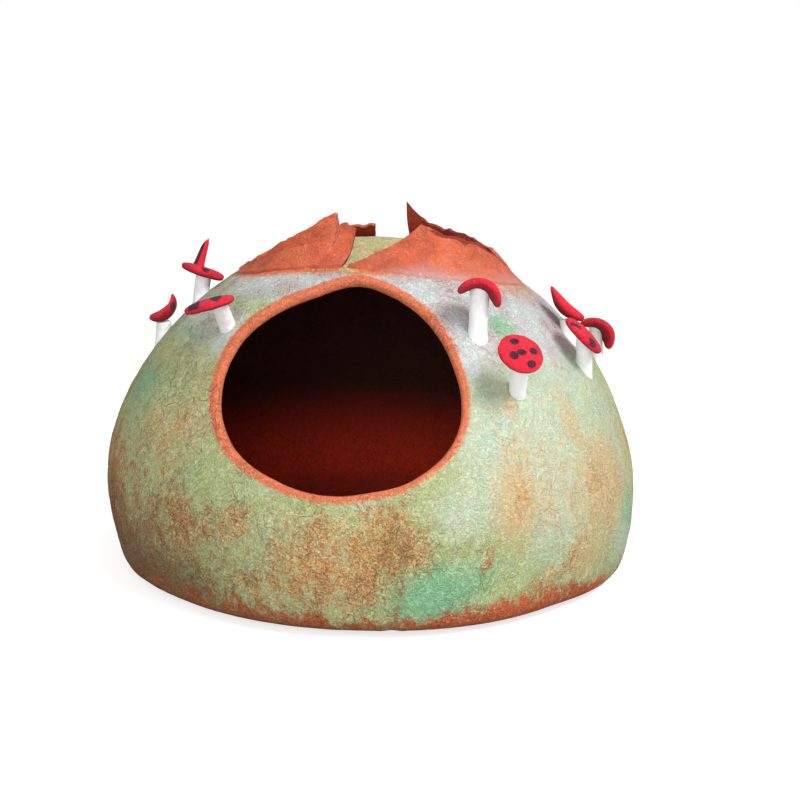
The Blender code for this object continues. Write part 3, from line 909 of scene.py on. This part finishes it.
def wall_point(wall, row, clock):
    """The wall's point at a row and clock angle, how many mm beyond the rim, and if it's outside."""
    start = radians(rim_angle(clock)) + wall.roll / SHELL_REACH
    if row < wall.lining_rows:
        polar = pi - (pi - start) * row / wall.lining_rows
        place = angles(entrance_way(polar, clock))
        beyond = LINING_MM - 1000 * (polar - start) * SHELL_REACH
        return on_shell(*place, -wall.felt), beyond, False
    rolled = (row - wall.lining_rows) / wall.rim_rows
    orange = RIM_ORANGE * (1 + 0.8 * cos(clock - RIM_ORANGE_CLOCK))
    if rolled <= 1:
        place = angles(entrance_way(start, clock))
        outer, normal = on_shell(*place), shell_normal(*place)
        inward = on_shell(*angles(entrance_way(start - 0.02, clock))) - outer
        inward = (inward - normal * inward.dot(normal)).normalized()
        turn = pi * (1 - rolled)
        bulge = abs(sin(turn)) ** ROLL_ROUNDNESS * wall.roll
        half = wall.felt / 2
        point = outer - normal * half + normal * (half * cos(turn)) + inward * bulge
        return point, LINING_MM * (1 - rolled) - orange, False
    share = (row - wall.lining_rows - wall.rim_rows) / wall.outside_rows
    polar = start + (pi - start) * share**ROW_SPREAD
    place = angles(entrance_way(polar, clock))
    return on_shell(*place), 1000 * (polar - start) * SHELL_REACH - orange, True


def rim_angle(clock):
    """The entrance's angular radius in degrees at a clock angle in radians."""
    return through(RIM_CLOCKS, RIM_RADII, degrees(clock) % 360)


def make_wall():
    """One grid from the back of the lining, round the rim's roll and over the outside."""
    wall = bpy.context.scene.cave_wall
    rows = wall.lining_rows + wall.rim_rows + wall.outside_rows
    creases = [
        (on_shell(c.azimuth, c.latitude), on_shell(c.to_azimuth, c.to_latitude), c) for c in CREASES
    ]
    form = bmesh.new()
    bmesh.ops.create_grid(form, x_segments=wall.segments, y_segments=rows, size=1)
    from_rim = form.verts.layers.float.new("rim_mm")
    for vert in form.verts:
        row = round((vert.co.y + 1) / 2 * rows)
        point, beyond, outside = wall_point(wall, row, vert.co.x * pi)
        way = (point - HEART).normalized()
        calm = clamp((point.z - CALM_FROM) / CALM_OVER)
        lump = lumps_at(point, WALL_LUMPS) * wall.lumps * calm
        if outside:
            point = point - way * crease_depth(point, creases)
        point = point + way * lump
        point.z = max(point.z, 0)
        vert.co = point
        vert[from_rim] = beyond
    bmesh.ops.remove_doubles(form, verts=form.verts, dist=1e-6)
    bmesh.ops.recalc_face_normals(form, faces=form.faces)
    piece = finish(form, "felted_wall", make_wall_felt(), "cave_shell")
    lay_wool(piece.data)
    return piece


# ---- Petals -------------------------------------------------------------------------------


def rib_point(rib, share, lift):
    """A rib leaves the wall along its surface, then bends up to its tip."""
    root = on_shell(rib.root_azimuth, rib.root_latitude, lift)
    flat = direction(rib.edge_azimuth, 0) * rib.edge_radius
    tip = Vector((flat.x, flat.y, rib.edge_height))
    normal = shell_normal(rib.root_azimuth, rib.root_latitude)
    chord = tip - root
    along = chord - normal * chord.dot(normal)
    knee = root + along * PETAL_KNEE
    back = 1 - share
    return root * back * back + knee * (2 * share * back) + tip * share * share


def nearness(fold, column, share):
    """1 along a fold of a petal, fading to 0 across its width."""
    run = fold.to_column - fold.column, fold.to_share - fold.share
    off = column - fold.column, share - fold.share
    along = (off[0] * run[0] + off[1] * run[1]) / (run[0] ** 2 + run[1] ** 2)
    along = clamp(along)
    away = hypot((off[0] - run[0] * along) / fold.columns_wide, off[1] - run[1] * along)
    return exp(-((away / fold.width) ** 2))


def petal_point(name, ribs, seed, column, share):
    """The petal's point at this column of ribs and share of its length, wrinkled and torn."""
    spans = len(ribs) - 1
    left = min(int(column + 1e-5), spans - 1)
    here, there = (rib_point(rib, share, -PETAL_SINK) for rib in ribs[left : left + 2])
    point = here.lerp(there, column - left)
    ridges = noise.noise(Vector((column * 0.9, share * 1.1, 0)) + seed)
    ridges += 0.4 * noise.noise(Vector((column * 2.4, share * 3.0 + column, 0)) + seed)
    ridges *= bpy.context.scene.cave_petals.wrinkles * min(1, share * 2.2)
    ridges -= sum(fold.depth * nearness(fold, column, share) for fold in FOLDS if fold.petal == name)
    out = (point - HEART).normalized()
    point += out * ridges
    torn = noise.noise(Vector((column * 1.3, 0, 0)) + seed) * PETAL_TEAR
    torn += noise.noise(Vector((column * 4.2, 4, 0)) + seed) * PETAL_NICKS
    point.z += torn * share**6 * min(1, column, spans - column)
    return point + out * max(-PETAL_SINK - height_over_shell(point), 0)


def make_petal(name, ribs, material):
    """A thin wrinkled sheet lofted over its ribs, growing out of the wall."""
    spans = len(ribs) - 1
    form = bmesh.new()
    bmesh.ops.create_grid(
        form, x_segments=spans * PETAL_COLUMNS_A_RIB, y_segments=PETAL_ROWS, size=1
    )
    seed = Vector((sum(map(ord, name)) % 17, 3.1, 7.7))
    border = form.verts.layers.float.new("border")
    rolled = ROLLED_PAST.get(name, 2)
    past_root = []
    for vert in form.verts:
        column = (vert.co.x + 1) / 2 * spans
        share = (vert.co.y + 1) / 2
        vert.co = petal_point(name, ribs, seed, column, share)
        vert[border] = clamp((share - rolled) / ROLLED_BLEND) * clamp(column - ROLLED_FROM)
        if share > 1e-4:
            past_root.append(vert.index)
    piece = finish(form, "felt_" + name, material, name)
    face = piece.data.polygons[0]
    if face.normal.dot(face.center - HEART) < 0:
        piece.data.flip_normals()
    full = piece.vertex_groups.new(name="full_thickness")
    full.add(past_root, 1.0, "REPLACE")
    sheet = piece.modifiers.new("felt", "SOLIDIFY")
    sheet.thickness = bpy.context.scene.cave_petals.felt
    sheet.offset = 1
    sheet.vertex_group = full.name
    sheet.thickness_vertex_group = PETAL_ROOT_SHARE
    edge = piece.modifiers.new("edge", "BEVEL")
    edge.width = PETAL_EDGE
    edge.segments = 2
    edge.limit_method = "ANGLE"
    edge.angle_limit = PETAL_EDGE_ANGLE
    apply_modifiers(piece)
    mark_inner_side(piece.data)
    lay_ember(piece.data)
    return piece


def apply_modifiers(piece):
    """Makes the piece's own mesh the shape that its modifiers give."""
    graph = bpy.context.evaluated_depsgraph_get()
    made = bpy.data.meshes.new_from_object(piece.evaluated_get(graph))
    piece.modifiers.clear()
    piece.vertex_groups.clear()
    piece.data = made
    made.shade_smooth()


def mark_inner_side(mesh):
    """1 on the side that looks towards the axis and along the rolled border, 0 elsewhere: where the
    petals are painted in their shaded inner colour.
    """
    away = places(mesh) - np.array(HEART)
    away /= np.linalg.norm(away, axis=1)[:, None]
    facing = (read(mesh.vertices, "normal", 3) * away).sum(axis=1)
    border = read(mesh.attributes["border"].data, "value")
    write_attribute(mesh, "shaded_inner", np.clip(0.5 - facing * 2.5 + border * 3, 0, 1))


# ---- Toadstools ---------------------------------------------------------------------------


def bend(along, lift, half, angle):
    """Bends a strip of this half length so that its end turns down by angle, in radians."""
    if abs(angle) < 1e-3:
        return along, lift
    radius = half / angle
    turn = along / radius
    return (radius + lift) * sin(turn), (radius + lift) * cos(turn) - radius


def stem_axis(stool):
    return direction(stool.lean_azimuth, stool.lean_up)


def stem_head(stool):
    return on_shell(stool.azimuth, stool.latitude) + stem_axis(stool) * stool.reach


def cap_axes(stool):
    """The cap's length, breadth and top as unit vectors."""
    top = direction(stool.faces_azimuth, stool.faces_up)
    length = direction(stool.runs_azimuth, stool.runs_up)
    length = (length - top * length.dot(top)).normalized()
    return length, top.cross(length), top


def cap_point(stool, u, v, side):
    """A point of the cap: u and v run from -1 to 1 over its disc, side from -1 to 1."""
    half_length, half_breadth = stool.length / 2, stool.breadth / 2
    tip = max(u * stool.taper, 0) * abs(u)
    slim = 1 - tip
    x = u * half_length * (1 + 0.15 * tip)
    y, lift = v * half_breadth * slim, side * CAP_FELT / 2 * sqrt(slim)
    outer = max(v - PINCH.start, 0) / (1 - PINCH.start)
    pinched = stool.pinch * outer * exp(-(((u - PINCH.along) / PINCH.width) ** 6))
    y, lift = bend(y, lift, half_breadth, radians(stool.droop_sides))
    x, lift = bend(x, lift, half_length, radians(stool.droop_ends))
    length, breadth, top = cap_axes(stool)
    x += stool.past + pinched * PINCH.lean
    return stem_head(stool) + length * x + breadth * y + top * (lift + pinched)


def spot_distance(number, stool, u, v, above):
    """How far a place on the cap is from its nearest spot, 1 at the spot's edge."""
    nearest = 9.0
    for spot in SPOTS:
        if spot.toadstool != number or spot.under == above:
            continue
        x = (u - spot.u) * stool.length / 2
        y = (v - spot.v) * stool.breadth / 2
        turn = radians(spot.turn)
        along = (x * cos(turn) + y * sin(turn)) / (spot.length / 2)
        across = (y * cos(turn) - x * sin(turn)) / (spot.width / 2)
        nearest = min(nearest, hypot(along, across))
    return nearest


def make_cap(number, stool, material):
    """A felt disc with a full round edge, curled as it dried, with felted spots."""
    form = bmesh.new()
    bmesh.ops.create_uvsphere(form, u_segments=96, v_segments=48, radius=1)
    spot_layer = form.verts.layers.float.new("spot")
    shaded_under_layer = form.verts.layers.float.new("under")
    for vert in form.verts:
        u, v = vert.co.x, vert.co.y
        above = vert.co.z > 0
        flat = min(hypot(u, v), 1)
        side = (1 - flat**3) ** (1 / 3)
        vert[spot_layer] = spot_distance(number, stool, u, v, above)
        # Painted shade: how much of the cap's darker underside colour lies at each point.
        vert[shaded_under_layer] = 0.0 if above else side
        point = cap_point(stool, u, v, side if above else -side)
        way = (point - stem_head(stool)).normalized()
        vert.co = point + way * lumps_at(point, CAP_LUMPS)
    name = f"toadstool_cap_{number}"
    piece = finish(form, "felt_" + name, material, name)
    return piece


def surface_of(item):
    """The object's own faces, before its modifiers, for casting lines onto them."""
    mesh = item.data
    return BVHTree.FromPolygons([v.co for v in mesh.vertices], [p.vertices for p in mesh.polygons])


def reaches(surface, starts, way):
    """How far each start is from the surface that way; one that misses goes as far as the rest."""
    found = [surface.ray_cast(start, way)[3] for start in starts]
    most = max(distance for distance in found if distance is not None)
    return [most if distance is None else distance for distance in found]


def make_stem(number, stool, material, wall, cap):
    """A soft felt post that reaches a little into the wall and into its cap."""
    axis = stem_axis(stool)
    origin = on_shell(stool.azimuth, stool.latitude)
    right = axis.cross(Vector((0, 1, 0))).normalized()
    back = axis.cross(right)
    radius = stool.stem_width / 2
    form = bmesh.new()
    bmesh.ops.create_cone(
        form, cap_ends=True, segments=40, radius1=radius, radius2=radius, depth=2
    )
    sides = [e for e in form.edges if abs(e.verts[0].co.z - e.verts[1].co.z) > 1]
    bmesh.ops.subdivide_edges(form, edges=sides, cuts=23, use_grid_fill=True)
    lines = [origin + right * vert.co.x + back * vert.co.y for vert in form.verts]
    ups = reaches(cap, [line - axis * CLEAR for line in [origin, *lines]], axis)
    ups = [min(ups)] * len(lines) if stool.droop_ends < 0 else ups[1:]
    downs = reaches(wall, [line + axis * CLEAR for line in lines], -axis)
    for vert, line, up, down in zip(form.verts, lines, ups, downs):
        foot = line + axis * (CLEAR - down - STEM_SINK)
        head = line + axis * (up - CLEAR + STEM_SINK)
        share = (vert.co.z + 1) / 2
        point = foot.lerp(head, share)
        middle = origin + axis * (point - origin).dot(axis)
        flare = STEM_FLARE * exp(-((share / STEM_FLARE_SHARE) ** 2))
        girth = 1 + flare + lumps_at(point, STEM_LUMPS)
        vert.co = middle + (point - middle) * girth
    name = f"toadstool_stem_{number}"
    piece = finish(form, "felt_" + name, material, name)
    return piece


# ---- Stage --------------------------------------------------------------------------------


def make_floor():
    stage = bpy.context.scene.cave_stage
    nodes = Nodes(bpy.data.materials.new("pale_floor"))
    sockets = {
        "Base Color": stage.floor,
        "Roughness": 0.9,
        "Specular IOR Level": 0.0,
        "Emission Color": WHITE,
        "Emission Strength": nodes.math("MULTIPLY", nodes.seen(), stage.glow),
    }
    nodes.feed(nodes.tree.nodes["Principled BSDF"], sockets)
    form = bmesh.new()
    bmesh.ops.create_circle(form, cap_ends=True, segments=96, radius=FLOOR_RADIUS)
    bmesh.ops.translate(form, vec=(0, 0, -FLOOR_DROP), verts=form.verts)
    floor = add_mesh(form, "floor", nodes.owner)


def make_light(name, box, power):
    """A square softbox that looks at the cave."""
    lamp = bpy.data.lights.new(name, "AREA")
    lamp.shape = "SQUARE"
    lamp.size = box.size
    lamp.energy = power
    item = add_object(name, lamp)
    away = direction(box.azimuth, box.elevation)
    item.location = CAMERA_AIM + away * box.distance
    item.rotation_euler = away.to_track_quat("Z", "Y").to_euler()


def make_surroundings():
    """A white world, pure white where the camera sees it and dimmer in what it lights."""
    scene = bpy.context.scene
    scene.world = bpy.data.worlds.new("white_studio")
    nodes = Nodes(scene.world)
    sky = nodes.tree.nodes["Background"]
    nodes.feed(sky, {"Color": WHITE, "Strength": scene.cave_stage.sky})
    backdrop = nodes.node("ShaderNodeBackground", {"Color": WHITE})
    sockets = {0: nodes.seen(), 1: sky.outputs[0], 2: backdrop.outputs[0]}
    choice = nodes.node("ShaderNodeMixShader", sockets)
    nodes.feed(nodes.tree.nodes["World Output"], {"Surface": choice.outputs[0]})
    scene.view_settings.view_transform = "Standard"


def make_camera():
    back = direction(CAMERA_AZIMUTH, CAMERA_ELEVATION)
    right = direction(CAMERA_AZIMUTH + 90, 0)
    up = back.cross(right)
    roll = radians(CAMERA_ROLL)
    side = right * cos(roll) + up * sin(roll)
    top = up * cos(roll) - right * sin(roll)
    lens = bpy.data.cameras.new("camera")
    lens.sensor_width = 36
    lens.lens = CAMERA_LENS
    lens.shift_x, lens.shift_y = CAMERA_SHIFT
    camera = add_object("camera", lens)
    axes = Matrix((side, top, back)).transposed().to_4x4()
    camera.matrix_world = Matrix.Translation(CAMERA_AIM + back * CAMERA_DISTANCE) @ axes
    bpy.context.scene.camera = camera


# ---- Operators ----------------------------------------------------------------------------


class CAVE_OT_wall(Operator):
    """Felts the hollow wall with its rolled rim and its lining"""

    bl_idname = "felt_cave.wall"
    bl_label = "Wall"

    def execute(self, context):
        make_wall()
        return {"FINISHED"}


class CAVE_OT_petals(Operator):
    """Cuts the petals of the crown"""

    bl_idname = "felt_cave.petals"
    bl_label = "Petals"

    def execute(self, context):
        material = make_petal_felt()
        for name, ribs in PETALS.items():
            piece = make_petal(name, ribs, material)
        return {"FINISHED"}


class CAVE_OT_toadstools(Operator):
    """Makes the caps with their spots, and the stems between them and the wall"""

    bl_idname = "felt_cave.toadstools"
    bl_label = "Toadstools"

    def execute(self, context):
        wall = bpy.data.objects.get("felted_wall")
        if wall is None:
            raise RuntimeError("make the wall before the toadstools, which stand on it")
        surface = surface_of(wall)
        red, white = make_cap_felt(), make_stem_felt()
        for number, stool in enumerate(TOADSTOOLS, start=1):
            cap = make_cap(number, stool, red)
            make_stem(number, stool, white, surface, surface_of(cap))
        return {"FINISHED"}


class CAVE_OT_stage(Operator):
    """Sets the pale floor, the white surroundings, the softboxes and the camera"""

    bl_idname = "felt_cave.stage"
    bl_label = "Stage"

    def execute(self, context):
        stage = context.scene.cave_stage
        make_floor()
        make_surroundings()
        make_light("key_softbox", KEY_SOFTBOX, stage.key)
        make_light("fill_softbox", FILL_SOFTBOX, stage.fill)
        make_camera()
        return {"FINISHED"}


class CAVE_PT_panel(Panel):
    """Lists the steps that dress the cave"""

    bl_label = "Felt Cat Cave"
    bl_idname = "CAVE_PT_panel"
    bl_space_type = "VIEW_3D"
    bl_region_type = "UI"
    bl_category = "Felt Cave"

    def draw(self, context):
        for step in OPERATORS:
            self.layout.operator(step.bl_idname)
        for group in SETTINGS:
            box = self.layout.box()
            settings = getattr(context.scene, group)
            for name in settings.__annotations__:
                box.prop(settings, name)


SETTINGS = {
    "cave_wall": CaveWallSettings,
    "cave_wool": CaveWoolSettings,
    "cave_petals": CavePetalSettings,
    "cave_toadstools": CaveToadstoolSettings,
    "cave_stage": CaveStageSettings,
}
OPERATORS = [CAVE_OT_wall, CAVE_OT_petals, CAVE_OT_toadstools, CAVE_OT_stage]


def register():
    for kind in [*SETTINGS.values(), *OPERATORS, CAVE_PT_panel]:
        bpy.utils.register_class(kind)
    for name, kind in SETTINGS.items():
        setattr(bpy.types.Scene, name, PointerProperty(type=kind))


def unregister():
    for name in SETTINGS:
        delattr(bpy.types.Scene, name)
    for kind in reversed([*SETTINGS.values(), *OPERATORS, CAVE_PT_panel]):
        bpy.utils.unregister_class(kind)


def main():
    register()
    bpy.ops.felt_cave.wall()
    bpy.ops.felt_cave.petals()
    bpy.ops.felt_cave.toadstools()
    bpy.ops.felt_cave.stage()


if __name__ == "__main__":
    main()
